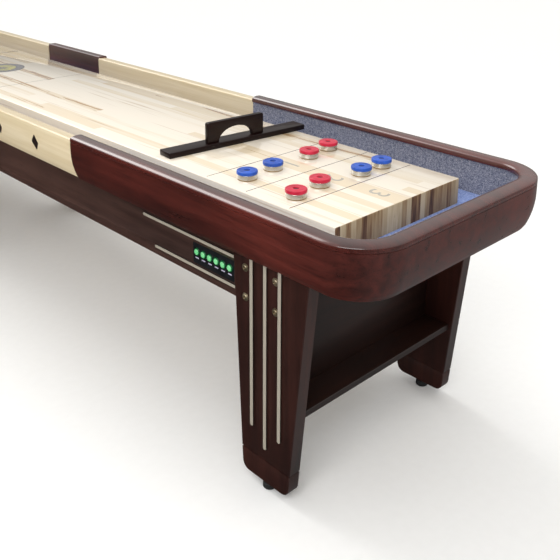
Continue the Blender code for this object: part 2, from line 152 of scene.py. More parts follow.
def paint(mat, *names):
    """Give carried CAD nodes their finish."""
    for name in names:
        data = NODES[name].data
        if data.materials:
            data.materials[0] = mat
        else:
            data.materials.append(mat)


def ease(bm, edges, radius):
    bmesh.ops.bevel(bm, geom=edges, offset=radius, offset_type="OFFSET", segments=2,
                    profile=0.5, affect="EDGES", material=-1, clamp_overlap=True)


def block(low, high):
    bm = bmesh.new()
    bmesh.ops.create_cube(bm, size=1.0)
    low, high = Vector(low), Vector(high)
    bmesh.ops.scale(bm, vec=high - low, verts=bm.verts)
    bmesh.ops.translate(bm, vec=(low + high) / 2, verts=bm.verts)
    return bm


def eased_copy(node, radius, sharp=25):
    """A merged copy of a CAD node with its hard edges rounded."""
    bm = bmesh.new()
    bm.from_mesh(NODES[node].data)
    bmesh.ops.remove_doubles(bm, verts=bm.verts, dist=0.00001)
    bmesh.ops.dissolve_limit(bm, angle_limit=math.radians(0.5), verts=bm.verts, edges=bm.edges)
    limit = math.radians(sharp)
    hard = [e for e in bm.edges if e.is_manifold and e.calc_face_angle(0.0) > limit]
    if radius:
        ease(bm, hard, radius)
    return bm


def lathe(profile, steps, place, closed=False):
    """Turn a (radius, height) profile about Z and place it: open from axis to axis, or a closed loop."""
    bm = bmesh.new()
    verts = [bm.verts.new((r, 0.0, h)) for r, h in profile]
    edges = [bm.edges.new(pair) for pair in zip(verts, verts[1:] + verts[:1] * closed)]
    bmesh.ops.spin(bm, geom=verts + edges, cent=(0, 0, 0), axis=(0, 0, 1), dvec=(0, 0, 0),
                   angle=2 * math.pi, steps=steps, use_merge=True, use_duplicate=False)
    bmesh.ops.remove_doubles(bm, verts=bm.verts, dist=0.00001)
    bmesh.ops.transform(bm, matrix=place, verts=bm.verts)
    return bm


def arc(cx, cy, radius, start, end, steps):
    """Points on a circle, angles in degrees, both ends included."""
    points = []
    for i in range(steps + 1):
        angle = math.radians(start + (end - start) * i / steps)
        points.append((cx + radius * math.cos(angle), cy + radius * math.sin(angle)))
    return points


def extrude_outline(points, axis, low, high):
    """A closed outline of (u, v) points drawn out along an axis."""
    bm = bmesh.new()
    verts = []
    for u, v in points:
        co = [u, v]
        co.insert(axis, low)
        verts.append(bm.verts.new(co))
    grown = bmesh.ops.extrude_face_region(bm, geom=[bm.faces.new(verts)])
    moved = [g for g in grown["geom"] if isinstance(g, bmesh.types.BMVert)]
    shift = Vector((0, 0, 0))
    shift[axis] = high - low
    bmesh.ops.translate(bm, vec=shift, verts=moved)
    return bm


def faced_strip(name, outline, face, turn, proud, facing, side_shade):
    """A strip of an (x, z) outline on a board's face: a thin bright face on a dark body whose sides are
    painted shade.
    """
    back = face + turn * (proud - STRIP_FACING)
    piece(f"{name}_backing", extrude_outline(outline, 1, *sorted((face, back))), side_shade)
    piece(name, extrude_outline(outline, 1, *sorted((back, face + turn * proud))), facing)


def round_the_end(profile, start_x, sign, radius, steps):
    """Sweep a closed (inset, z) section along one side, round the table's end and back."""
    half_l, half_w = CAD_BOX[1][0], CAD_BOX[1][1]
    centre_x, centre_y = half_l - radius, half_w - radius
    bm = bmesh.new()
    verts = [bm.verts.new((start_x, -half_w + inset, z)) for inset, z in profile]
    loop = [bm.edges.new((verts[i], verts[(i + 1) % len(verts)])) for i in range(len(verts))]
    bm.faces.new(verts)

    def straight(edges, shift):
        grown = bmesh.ops.extrude_edge_only(bm, edges=edges)["geom"]
        moved = [g for g in grown if isinstance(g, bmesh.types.BMVert)]
        bmesh.ops.translate(bm, vec=shift, verts=moved)
        fresh = set(moved)
        return [g for g in grown if isinstance(g, bmesh.types.BMEdge) and set(g.verts) <= fresh]

    def corner(edges, centre):
        around = list({v for e in edges for v in e.verts})
        turned = bmesh.ops.spin(bm, geom=around + edges, cent=centre, axis=(0, 0, 1), dvec=(0, 0, 0),
                                angle=math.pi / 2, steps=steps, use_merge=False, use_duplicate=False)
        return [g for g in turned["geom_last"] if isinstance(g, bmesh.types.BMEdge)]

    loop = straight(loop, (centre_x - start_x, 0, 0))
    loop = corner(loop, (centre_x, -centre_y, 0))
    loop = straight(loop, (0, 2 * centre_y, 0))
    loop = corner(loop, (centre_x, centre_y, 0))
    loop = straight(loop, (start_x - centre_x, 0, 0))
    bmesh.ops.contextual_create(bm, geom=loop)
    bmesh.ops.scale(bm, vec=(sign, 1, 1), verts=bm.verts)
    return bm


# ---- material helpers ---------------------------------------------------------------------
def add(tree, kind, inputs=None, stops=None, to=None, **settings):
    """Add a shader node.

    Inputs take a value or another node's output, stops fill a ramp, and to takes its first output.
    """
    node = tree.nodes.new("ShaderNode" + kind)
    for key, value in settings.items():
        setattr(node, key, value)
    for key, value in (inputs or {}).items():
        if isinstance(value, bpy.types.NodeSocket):
            tree.links.new(value, node.inputs[key])
        else:
            node.inputs[key].default_value = value
    if stops:
        band = node.color_ramp.elements
        while len(band) < len(stops):
            band.new(1.0)
        for element, (position, colour) in zip(band, stops):
            element.position = position
            element.color = colour
    if to:
        tree.links.new(node.outputs[0], to)
    return node


def start(name, **values):
    """A material with its shader's own sockets set: the material, tree, shader and object coordinates."""
    mat = bpy.data.materials.new(name)
    mat.use_nodes = True
    tree = mat.node_tree
    shader = tree.nodes["Principled BSDF"]
    for key, value in values.items():
        shader.inputs[key.replace("_", " ")].default_value = value
    place = add(tree, "TexCoord").outputs["Object"]
    return mat, tree, shader, place


GRAIN_STRETCH = {"x": (1, 22, 22), "y": (22, 1, 22), "z": (22, 22, 1)}


def lacquered_wood(name, light, dark, grain="x", roughness=0.30, coat=0.45, coat_roughness=0.16, shine=0.5):
    """Espresso-stained hardwood under satin lacquer: low-contrast grain and a soft sheen."""
    mat, tree, shader, place = start(name, IOR=1.5, Coat_Weight=coat, Coat_Roughness=coat_roughness,
                                     Specular_IOR_Level=shine)
    along = add(tree, "Mapping", {"Vector": place, "Scale": GRAIN_STRETCH[grain]}).outputs[0]
    figure = add(tree, "TexNoise", {"Vector": along, "Scale": 1.6, "Detail": 6.0, "Roughness": 0.6,
                                    "Distortion": 0.6})
    # pores are 0.4 mm wide in the wood and are drawn 3 mm apart, so that they show
    pores = add(tree, "TexNoise", {"Vector": along, "Scale": 15.0, "Detail": 3.0})
    cloud = add(tree, "TexNoise", {"Vector": place, "Scale": 2.2, "Detail": 2.0})
    tone = add(tree, "Math", {0: figure.outputs[0], 1: cloud.outputs[0]}, operation="ADD")
    half = add(tree, "Math", {0: tone.outputs[0], 1: 0.5}, operation="MULTIPLY")
    stain = add(tree, "ValToRGB", {"Fac": half.outputs[0]}, stops=[(0.36, dark), (0.64, light)])
    line = add(tree, "ValToRGB", {"Fac": pores.outputs[0]},
               stops=[(0.34, linear("9a9a9a")), (0.46, linear("ffffff"))])
    mix = add(tree, "Mix", {0: 0.5, 6: stain.outputs[0], 7: line.outputs[0]},
              data_type="RGBA", blend_type="MULTIPLY")
    tree.links.new(mix.outputs[2], shader.inputs["Base Color"])
    add(tree, "MapRange", {"Value": figure.outputs[0], "To Min": roughness - 0.05,
                           "To Max": roughness + 0.08}, to=shader.inputs["Roughness"])
    add(tree, "Bump", {"Height": pores.outputs[0], "Distance": 0.0002, "Strength": 0.25},
        to=shader.inputs["Normal"])
    return mat


def clear_maple(name, light, dark):
    """Clear-lacquered maple: pale, straight and fine grained, with satin gloss."""
    mat, tree, shader, place = start(name, IOR=1.5, Coat_Weight=0.35, Coat_Roughness=0.12)
    along = add(tree, "Mapping", {"Vector": place, "Scale": (0.8, 30, 30)}).outputs[0]
    figure = add(tree, "TexNoise", {"Vector": along, "Scale": 2.0, "Detail": 7.0, "Roughness": 0.65,
                                    "Distortion": 0.4})
    add(tree, "ValToRGB", {"Fac": figure.outputs[0]}, stops=[(0.32, dark), (0.68, light)],
        to=shader.inputs["Base Color"])
    add(tree, "MapRange", {"Value": figure.outputs[0], "To Min": 0.24, "To Max": 0.36},
        to=shader.inputs["Roughness"])
    add(tree, "Bump", {"Height": figure.outputs[0], "Distance": 0.0002, "Strength": 0.2},
        to=shader.inputs["Normal"])
    return mat


def butcher_block(name, half_length, strip, light, middle, brown):
    """Edge-glued maple under poured polymer: toned strips with a mirror gloss, and end grain on the ends."""
    mat, tree, shader, place = start(name, IOR=1.5, Coat_Roughness=0.015, Coat_IOR=1.55)
    axes = add(tree, "SeparateXYZ", {0: place})
    # strips of the block, side by side across it
    row = add(tree, "Math", {0: axes.outputs[1], 1: strip}, operation="DIVIDE")
    row = add(tree, "Math", {0: row.outputs[0]}, operation="FLOOR")
    shift = add(tree, "TexWhiteNoise", {"W": row.outputs[0]}, noise_dimensions="1D")
    # each strip is finger-jointed from boards about 1.1 m long that start at their own places
    slide = add(tree, "Math", {0: shift.outputs[0], 1: 5.0, 2: axes.outputs[0]}, operation="MULTIPLY_ADD")
    board = add(tree, "Math", {0: slide.outputs[0], 1: 1.1}, operation="DIVIDE")
    board = add(tree, "Math", {0: board.outputs[0]}, operation="FLOOR")
    mark = add(tree, "CombineXYZ", {0: row.outputs[0], 1: board.outputs[0]})
    pick = add(tree, "TexWhiteNoise", {"Vector": mark.outputs[0]}, noise_dimensions="2D")
    along = add(tree, "Mapping", {"Vector": place, "Scale": (1.0, 26, 26)}).outputs[0]
    figure = add(tree, "TexNoise", {"Vector": along, "Scale": 2.4, "Detail": 6.0, "Distortion": 0.8})
    lift = add(tree, "Math", {0: figure.outputs[0], 1: 0.5, 2: -0.25}, operation="MULTIPLY_ADD")
    tone = add(tree, "Math", {0: pick.outputs[0], 1: lift.outputs[0]}, operation="ADD")
    top = add(tree, "ValToRGB", {"Fac": tone.outputs[0]},
              stops=[(0.0, light), (0.62, light), (0.84, middle), (0.99, middle), (1.0, brown)])
    # heartwood runs through the pale boards as thin soft streaks
    thin = add(tree, "Mapping", {"Vector": place, "Scale": (0.9, 40, 40)}).outputs[0]
    streak = add(tree, "TexNoise", {"Vector": thin, "Scale": 1.7, "Detail": 3.0, "Distortion": 0.5})
    streak = add(tree, "MapRange", {"Value": streak.outputs[0], "From Min": 0.63, "From Max": 0.74,
                                    "To Max": 0.55})
    top = add(tree, "Mix", {0: streak.outputs[0], 6: top.outputs[0], 7: brown}, data_type="RGBA")
    # the end shows each strip's end grain: short upright fibres, browner and far more varied
    narrow = add(tree, "Math", {0: axes.outputs[1], 1: strip * 0.62}, operation="DIVIDE")
    narrow = add(tree, "Math", {0: narrow.outputs[0]}, operation="FLOOR")
    choice = add(tree, "TexWhiteNoise", {"W": narrow.outputs[0]}, noise_dimensions="1D")
    upright = add(tree, "Mapping", {"Vector": place, "Scale": (1.0, 60, 5)}).outputs[0]
    fibre = add(tree, "TexNoise", {"Vector": upright, "Scale": 2.2, "Detail": 5.0, "Distortion": 0.6})
    push = add(tree, "Math", {0: fibre.outputs[0], 1: 0.9, 2: -0.45}, operation="MULTIPLY_ADD")
    grainy = add(tree, "Math", {0: choice.outputs[0], 1: push.outputs[0]}, operation="ADD")
    end = add(tree, "ValToRGB", {"Fac": grainy.outputs[0]},
              stops=[(0.0, linear("cfbb98")), (0.40, linear("b49a74")), (0.66, linear("9a7b56")),
                     (0.84, linear("7a5636")), (1.0, linear("4c311d"))])
    # dark blots of pith and knots
    blot = add(tree, "Mapping", {"Vector": place, "Rotation": (0.5, 0, 0), "Scale": (1.0, 34, 13)}).outputs[0]
    blot = add(tree, "TexNoise", {"Vector": blot, "Scale": 1.0, "Detail": 3.0, "Distortion": 0.4})
    blot = add(tree, "MapRange", {"Value": blot.outputs[0], "From Min": 0.66, "From Max": 0.70,
                                  "To Max": 0.85})
    end = add(tree, "Mix", {0: blot.outputs[0], 6: end.outputs[0], 7: linear("3a2415")}, data_type="RGBA")
    far = add(tree, "Math", {0: axes.outputs[0]}, operation="ABSOLUTE")
    mask = add(tree, "Math", {0: far.outputs[0], 1: half_length - 0.0012}, operation="GREATER_THAN")
    mix = add(tree, "Mix", {0: mask.outputs[0], 6: top.outputs[2], 7: end.outputs[2]}, data_type="RGBA")
    tree.links.new(mix.outputs[2], shader.inputs["Base Color"])
    # the polymer is poured on top only; the ends are bare oiled wood
    add(tree, "MapRange", {"Value": mask.outputs[0], "To Min": 1.0, "To Max": 0.05},
        to=shader.inputs["Coat Weight"])
    add(tree, "MapRange", {"Value": mask.outputs[0], "To Min": 0.25, "To Max": 0.62},
        to=shader.inputs["Roughness"])
    add(tree, "Bump", {"Height": figure.outputs[0], "Distance": 0.0001, "Strength": 0.04},
        to=shader.inputs["Normal"])
    return mat


def looped_carpet(name, pale, body, deep, fleck):
    """Needle-punched gutter carpet: matt heather of pale, blue and brown fibres."""
    mat, tree, shader, place = start(name, Roughness=1.0, Sheen_Weight=0.25, Specular_IOR_Level=0.1)
    # fibres are 0.1 mm thick and their tufts are drawn 3 mm across, so that they show
    tuft = add(tree, "TexNoise", {"Vector": place, "Scale": 330.0, "Detail": 4.0, "Roughness": 0.75})
    patch = add(tree, "TexNoise", {"Vector": place, "Scale": 120.0, "Detail": 3.0, "Roughness": 0.7})
    both = add(tree, "Math", {0: patch.outputs[0], 1: 0.45, 2: tuft.outputs[0]}, operation="MULTIPLY_ADD")
    add(tree, "ValToRGB", {"Fac": both.outputs[0]},
        stops=[(0.56, deep), (0.68, body), (0.78, fleck), (0.90, pale)], to=shader.inputs["Base Color"])
    add(tree, "Bump", {"Height": tuft.outputs[0], "Distance": 0.002, "Strength": 0.6},
        to=shader.inputs["Normal"])
    return mat


def metal(name, light, dark, roughness, metallic=1.0, brush=(1, 1, 1)):
    """Satin metal: fine brush lines that break its shine."""
    mat, tree, shader, place = start(name, Metallic=metallic)
    along = add(tree, "Mapping", {"Vector": place, "Scale": brush}).outputs[0]
    lines = add(tree, "TexNoise", {"Vector": along, "Scale": 40.0, "Detail": 4.0})
    add(tree, "ValToRGB", {"Fac": lines.outputs[0]}, stops=[(0.3, dark), (0.7, light)],
        to=shader.inputs["Base Color"])
    add(tree, "MapRange", {"Value": lines.outputs[0], "To Min": roughness - 0.04, "To Max": roughness + 0.06},
        to=shader.inputs["Roughness"])
    add(tree, "Bump", {"Height": lines.outputs[0], "Distance": 0.0001, "Strength": 0.15},
        to=shader.inputs["Normal"])
    return mat


def moulded(name, light, dark, roughness, scale=900.0, strength=0.15, **values):
    """Moulded plastic or rubber: an even colour with a faint pebble from the mould."""
    mat, tree, shader, place = start(name, **values)
    cloud = add(tree, "TexNoise", {"Vector": place, "Scale": 35.0, "Detail": 4.0})
    add(tree, "ValToRGB", {"Fac": cloud.outputs[0]}, stops=[(0.35, dark), (0.65, light)],
        to=shader.inputs["Base Color"])
    add(tree, "MapRange", {"Value": cloud.outputs[0], "To Min": roughness - 0.04, "To Max": roughness + 0.06},
        to=shader.inputs["Roughness"])
    pebble = add(tree, "TexNoise", {"Vector": place, "Scale": scale, "Detail": 2.0})
    add(tree, "Bump", {"Height": pebble.outputs[0], "Distance": 0.0001, "Strength": strength},
        to=shader.inputs["Normal"])
    return mat


# ---- sizes and colours a user would change ------------------------------------------------
class CabinetSettings(bpy.types.PropertyGroup):
    """Curved walls, rims and rails."""
    corner_radius: bpy.props.FloatProperty(
        name="Corner radius", description="Radius of the hood's corners in plan", default=0.140,
        unit="LENGTH")
    corner_steps: bpy.props.IntProperty(
        name="Corner steps", description="Segments round a corner", default=28, min=8, max=64)
    wall: bpy.props.FloatProperty(
        name="Wall", description="Thickness of the hood's wall", default=0.0405, unit="LENGTH")
    bulge_radius: bpy.props.FloatProperty(
        name="Bulge radius", description="Radius of the wall's curved outer face", default=0.207,
        unit="LENGTH")
    bulge_level: bpy.props.FloatProperty(
        name="Bulge level", description="Level above which the outer face is upright", default=0.742,
        unit="LENGTH")
    rim_width: bpy.props.FloatProperty(
        name="Rim width", description="Width of the rim on the hood", default=0.049, unit="LENGTH")
    rim_outer: bpy.props.FloatProperty(
        name="Outer fall", description="Fall of the rim's crown to its outer edge", default=0.0090,
        unit="LENGTH")
    rim_inner: bpy.props.FloatProperty(
        name="Inner fall", description="Fall of the rim's crown to its inner edge", default=0.0100,
        unit="LENGTH")
    lower_round: bpy.props.FloatProperty(
        name="Lower rounding", description="Rounding of the wall's lower outer edge", default=0.005,
        unit="LENGTH")
    diamond_width: bpy.props.FloatProperty(
        name="Diamond width", description="Width of the inlaid diamonds", default=0.044, unit="LENGTH")
    diamond_height: bpy.props.FloatProperty(
        name="Diamond height", description="Height of the inlaid diamonds", default=0.056, unit="LENGTH")
    diamond_pitch: bpy.props.FloatProperty(
        name="Diamond pitch", description="Distance between diamonds", default=0.258, unit="LENGTH")
    diamond_level: bpy.props.FloatProperty(
        name="Diamond level", description="Height of the diamonds' centres", default=0.716, unit="LENGTH")
    wood_light: bpy.props.FloatVectorProperty(
        name="Wood, light", description="Lighter tone of the stained wood", subtype="COLOR",
        default=ink("5f241c"))
    wood_dark: bpy.props.FloatVectorProperty(
        name="Wood, dark", description="Darker tone of the stained wood", subtype="COLOR",
        default=ink("33130f"))
    frame_light: bpy.props.FloatVectorProperty(
        name="Frame, light", description="Lighter tone of legs and aprons", subtype="COLOR",
        default=ink("412019"))
    frame_dark: bpy.props.FloatVectorProperty(
        name="Frame, dark", description="Darker tone of legs and aprons", subtype="COLOR",
        default=ink("23110e"))
    apron_light: bpy.props.FloatVectorProperty(
        name="Apron, light", description="Lighter tone of the aprons", subtype="COLOR", default=ink("553a32"))
    apron_dark: bpy.props.FloatVectorProperty(
        name="Apron, dark", description="Darker tone of the aprons", subtype="COLOR", default=ink("38241f"))
    maple_light: bpy.props.FloatVectorProperty(
        name="Maple, light", description="Lighter tone of the rails", subtype="COLOR", default=ink("ecdcbc"))
    maple_dark: bpy.props.FloatVectorProperty(
        name="Maple, dark", description="Darker tone of the rails", subtype="COLOR", default=ink("dac69e"))


class BoardSettings(bpy.types.PropertyGroup):
    """Playfield, its markings and the carpet round it."""
    strip: bpy.props.FloatProperty(
        name="Strip", description="Width of one strip of the butcher block", default=0.0318, unit="LENGTH")
    line_width: bpy.props.FloatProperty(
        name="Line width", description="Width of the score lines", default=0.0028, unit="LENGTH")
    line_inset: bpy.props.FloatProperty(
        name="Line inset", description="Line end to the playfield's side", default=0.009, unit="LENGTH")
    zone: bpy.props.FloatProperty(
        name="Zone", description="Depth of one scoring zone", default=0.161, unit="LENGTH")
    foul: bpy.props.FloatProperty(
        name="Foul line", description="Foul line to the playfield's end", default=1.884, unit="LENGTH")
    numeral: bpy.props.FloatProperty(
        name="Numeral", description="Height of the zone numerals", default=0.060, unit="LENGTH")
    emblem: bpy.props.FloatProperty(
        name="Emblem radius", description="Radius of the round emblem", default=0.095, unit="LENGTH")
    block_light: bpy.props.FloatVectorProperty(
        name="Block, light", description="Palest strips", subtype="COLOR", default=ink("f7ecda"))
    block_middle: bpy.props.FloatVectorProperty(
        name="Block, tan", description="Tan strips", subtype="COLOR", default=ink("ead8ba"))
    block_brown: bpy.props.FloatVectorProperty(
        name="Block, brown", description="Brown heartwood strips", subtype="COLOR", default=ink("b08a5c"))


class TrimSettings(bpy.types.PropertyGroup):
    """Strips, bolts, labels and pucks."""
    leg_strip: bpy.props.FloatProperty(
        name="Leg strip", description="Width of a leg strip", default=0.0106, unit="LENGTH")
    apron_strip: bpy.props.FloatProperty(
        name="Apron strip", description="Height of an apron strip", default=0.0080, unit="LENGTH")
    proud: bpy.props.FloatProperty(
        name="Proud", description="How far strips stand out", default=0.0050, unit="LENGTH")
    bolt_radius: bpy.props.FloatProperty(
        name="Washer radius", description="Radius of a leg bolt's washer", default=0.011, unit="LENGTH")
    cap_share: bpy.props.FloatProperty(
        name="Cap share", description="Share of a puck's height that its cap takes", default=0.38,
        subtype="FACTOR")
    red: bpy.props.FloatVectorProperty(
        name="Red cap", description="Colour of the red pucks", subtype="COLOR", default=ink("dc2f4e"))
    blue: bpy.props.FloatVectorProperty(
        name="Blue cap", description="Colour of the blue pucks", subtype="COLOR", default=ink("2f62d0"))
    lens: bpy.props.FloatVectorProperty(
        name="Button lens", description="Colour of the buttons", subtype="COLOR", default=ink("8fe0a0"))


class StageSettings(bpy.types.PropertyGroup):
    """Camera, floor and light."""
    azimuth: bpy.props.FloatProperty(
        name="Azimuth", description="Direction the camera looks in, 0 along +Y and 90 along -X",
        default=math.radians(45.837), subtype="ANGLE")
    elevation: bpy.props.FloatProperty(
        name="Elevation", description="Camera's angle above the horizon", default=math.radians(15.435),
        subtype="ANGLE")
    roll: bpy.props.FloatProperty(
        name="Roll", description="Camera's turn about its own axis", default=math.radians(0.378),
        subtype="ANGLE")
    position: bpy.props.FloatVectorProperty(
        name="Position", description="Camera's place", subtype="XYZ", unit="LENGTH",
        default=(3.3753, -1.5494, 1.4856))
    lens: bpy.props.FloatProperty(
        name="Lens", description="Focal length on a 36 mm sensor", default=51.446)
    upright_shift: bpy.props.FloatProperty(
        name="Shift", description="Lens shift, as the framing is cut at its top", default=-0.2874)
    fill: bpy.props.FloatProperty(
        name="Fill", description="Strength of the light from above", default=0.78)
    key: bpy.props.FloatProperty(
        name="Key", description="Power of the soft key light", default=90.0, unit="POWER")


GROUPS = (("cabinet", CabinetSettings), ("board", BoardSettings), ("trim", TrimSettings),
          ("stage", StageSettings))


# ---- cabinet ------------------------------------------------------------------------------
def wall_section(sizes, low, top, outer, inner, top_round, steps=14):
    """Closed (inset, z) section of a wall whose outer face curves inwards below the bulge level."""
    def inset(level):
        drop = max(0.0, sizes.bulge_level - level)
        return outer + sizes.bulge_radius - math.sqrt(sizes.bulge_radius ** 2 - drop ** 2)

    r = sizes.lower_round
    foot = inset(low)
    points = arc(foot + r, low + r, r, 270, 190, 5)
    for i in range(1, steps + 1):
        level = low + r + (sizes.bulge_level - low - r) * i / steps
        points.append((inset(level), level))
    if top_round:
        points += arc(outer + top_round, top - top_round, top_round, 180, 90, 6)
        points += arc(inner - top_round, top - top_round, top_round, 90, 0, 6)
    else:
        points += [(outer, top), (inner, top)]
    points.append((inner, low))
    return points


class SHUFFLEBOARD_OT_hoods(bpy.types.Operator):
    """Build the curved hoods, their rims and the carpet inside them"""
    bl_idname = "shuffleboard.hoods"
    bl_label = "Hoods and Rims"

    def execute(self, context):
        sizes = context.scene.shuffleboard.cabinet
        tones = opaque(sizes.wood_light), opaque(sizes.wood_dark)
        # dark red-brown boards with a soft sheen, and a glossier rim that takes a clear highlight
        wood = lacquered_wood("espresso_lacquered_hardwood", *tones, "x", roughness=0.28, coat_roughness=0.12)
        cap = lacquered_wood("espresso_lacquered_rim", *tones, "x", roughness=0.24, coat=0.8,
                             coat_roughness=0.05)
        # grey-blue heather that takes light without a shine
        carpet = looped_carpet("heather_wall_carpet", linear("bcbbc2"), linear("6e7286"), linear("444a5e"),
                               linear("93949e"))
        for end, sign in ENDS:
            low, high = node_box(f"hood_{end}")
            start_x = min(abs(low.x), abs(high.x))
            section = wall_section(sizes, low.z, high.z, 0.0, sizes.wall, 0.0)
            piece(f"hood_wall_{end}",
                  round_the_end(section, start_x, sign, sizes.corner_radius, sizes.corner_steps), wood,
                  stands_for=[f"hood_{end}"])
            low, high = node_box(f"hood_rim_{end}")
            crown = sizes.rim_width * 0.55
            rest = sizes.rim_width - crown
            rim = arc(0.0015, low.z + 0.0015, 0.0015, 270, 180, 2)
            rim += [(crown + crown * u, high.z + sizes.rim_outer * (v - 1))
                    for u, v in arc(0, 0, 1, 180, 90, 12)]
            rim += [(crown + rest * u, high.z + sizes.rim_inner * (v - 1))
                    for u, v in arc(0, 0, 1, 90, 0, 12)[1:]]
            rim += arc(sizes.rim_width - 0.0015, low.z + 0.0015, 0.0015, 0, -90, 2)
            piece(f"hood_rim_cap_{end}",
                  round_the_end(rim, start_x, sign, sizes.corner_radius, sizes.corner_steps), cap,
                  stands_for=[f"hood_rim_{end}"])
            low, high = node_box(f"wall_carpet_{end}")
            outer = CAD_BOX[1][1] - high.y
            inner = outer + 0.003
            liner = [(outer, low.z), (outer, high.z), (inner, high.z), (inner, low.z)]
            piece(f"wall_carpet_{end}_lining",
                  round_the_end(liner, start_x, sign, sizes.corner_radius, sizes.corner_steps), carpet,
                  stands_for=[f"wall_carpet_{end}"])
        return {"FINISHED"}


class SHUFFLEBOARD_OT_rails(bpy.types.Operator):
    """Build the maple rails with their inlaid diamonds, and the dark centre blocks"""
    bl_idname = "shuffleboard.rails"
    bl_label = "Side Rails"

    def execute(self, context):
        sizes = context.scene.shuffleboard.cabinet
        # pale straight-grained rails, dark satin blocks and near-black inlays
        maple = clear_maple("clear_lacquered_maple", opaque(sizes.maple_light), opaque(sizes.maple_dark))
        wood = lacquered_wood("espresso_lacquered_block", opaque(sizes.wood_light), opaque(sizes.wood_dark),
                              "x")
        inlay = moulded("black_walnut_inlay", linear("33211d"), linear("1f1413"), 0.35, Coat_Weight=0.3)
        half_w = CAD_BOX[1][1]
        for side, turn in SIDES:
            for end, sign in ENDS:
                name = f"maple_rail_{side}_{end}"
                low, high = node_box(name)
                outer = half_w - max(abs(low.y), abs(high.y))
                inner = half_w - min(abs(low.y), abs(high.y))
                points = wall_section(sizes, low.z, high.z, outer, inner, 0.006)
                outline = [(turn * (half_w - i), z) for i, z in points]
                piece(f"rail_{side}_{end}", extrude_outline(outline, 0, low.x, high.x), maple,
                      stands_for=[name])
                middle = (low.x + high.x) / 2 + sign * DIAMOND_OFFSET
                for i in range(3):
                    self.diamond(sizes, f"diamond_{side}_{end}_{i + 1}",
                                 middle + sign * sizes.diamond_pitch * (i - 1), turn, half_w - outer, inlay)
            name = f"centre_block_{side}"
            low, high = node_box(name)
            points = wall_section(sizes, low.z, high.z, 0.0, sizes.wall, 0.006)
            outline = [(turn * (half_w - i), z) for i, z in points]
            piece(f"rail_block_{side}", extrude_outline(outline, 0, low.x, high.x), wood,
                  stands_for=[name])
        return {"FINISHED"}

    def diamond(self, sizes, name, x, turn, face, mat):
        """A thin inlaid diamond laid on the rail's curved face."""
        level = sizes.diamond_level
        bm = bmesh.new()
        outline = []
        for i in range(4):
            # each corner is cut off square by a small flat, as a router leaves it
            for reach, step in ((0.9, -0.08), (0.9, 0.08)):
                angle = i * math.pi / 2
                outline.append(bm.verts.new((
                    sizes.diamond_width / 2 * (reach * math.cos(angle) - step * math.sin(angle)),
                    sizes.diamond_height / 2 * (reach * math.sin(angle) + step * math.cos(angle)), 0)))
        bm.faces.new(outline)
        bmesh.ops.rotate(bm, cent=(0, 0, 0), matrix=Matrix.Rotation(math.pi / 2, 3, "X"), verts=bm.verts)
        bmesh.ops.translate(bm, vec=(x, 0, level), verts=bm.verts)
        for i in range(-3, 4):
            geom = list(bm.verts) + list(bm.edges) + list(bm.faces)
            bmesh.ops.bisect_plane(bm, geom=geom, plane_co=(0, 0, level + i * 0.006), plane_no=(0, 0, 1))
        grown = bmesh.ops.extrude_face_region(bm, geom=list(bm.faces))
        outside = {g for g in grown["geom"] if isinstance(g, bmesh.types.BMVert)}
        for vert in bm.verts:
            drop = max(0.0, sizes.bulge_level - vert.co.z)
            inset = sizes.bulge_radius - math.sqrt(sizes.bulge_radius ** 2 - drop ** 2)
            vert.co.y = turn * (face - inset + (0.0008 if vert in outside else 0.0001))
        piece(name, bm, mat)


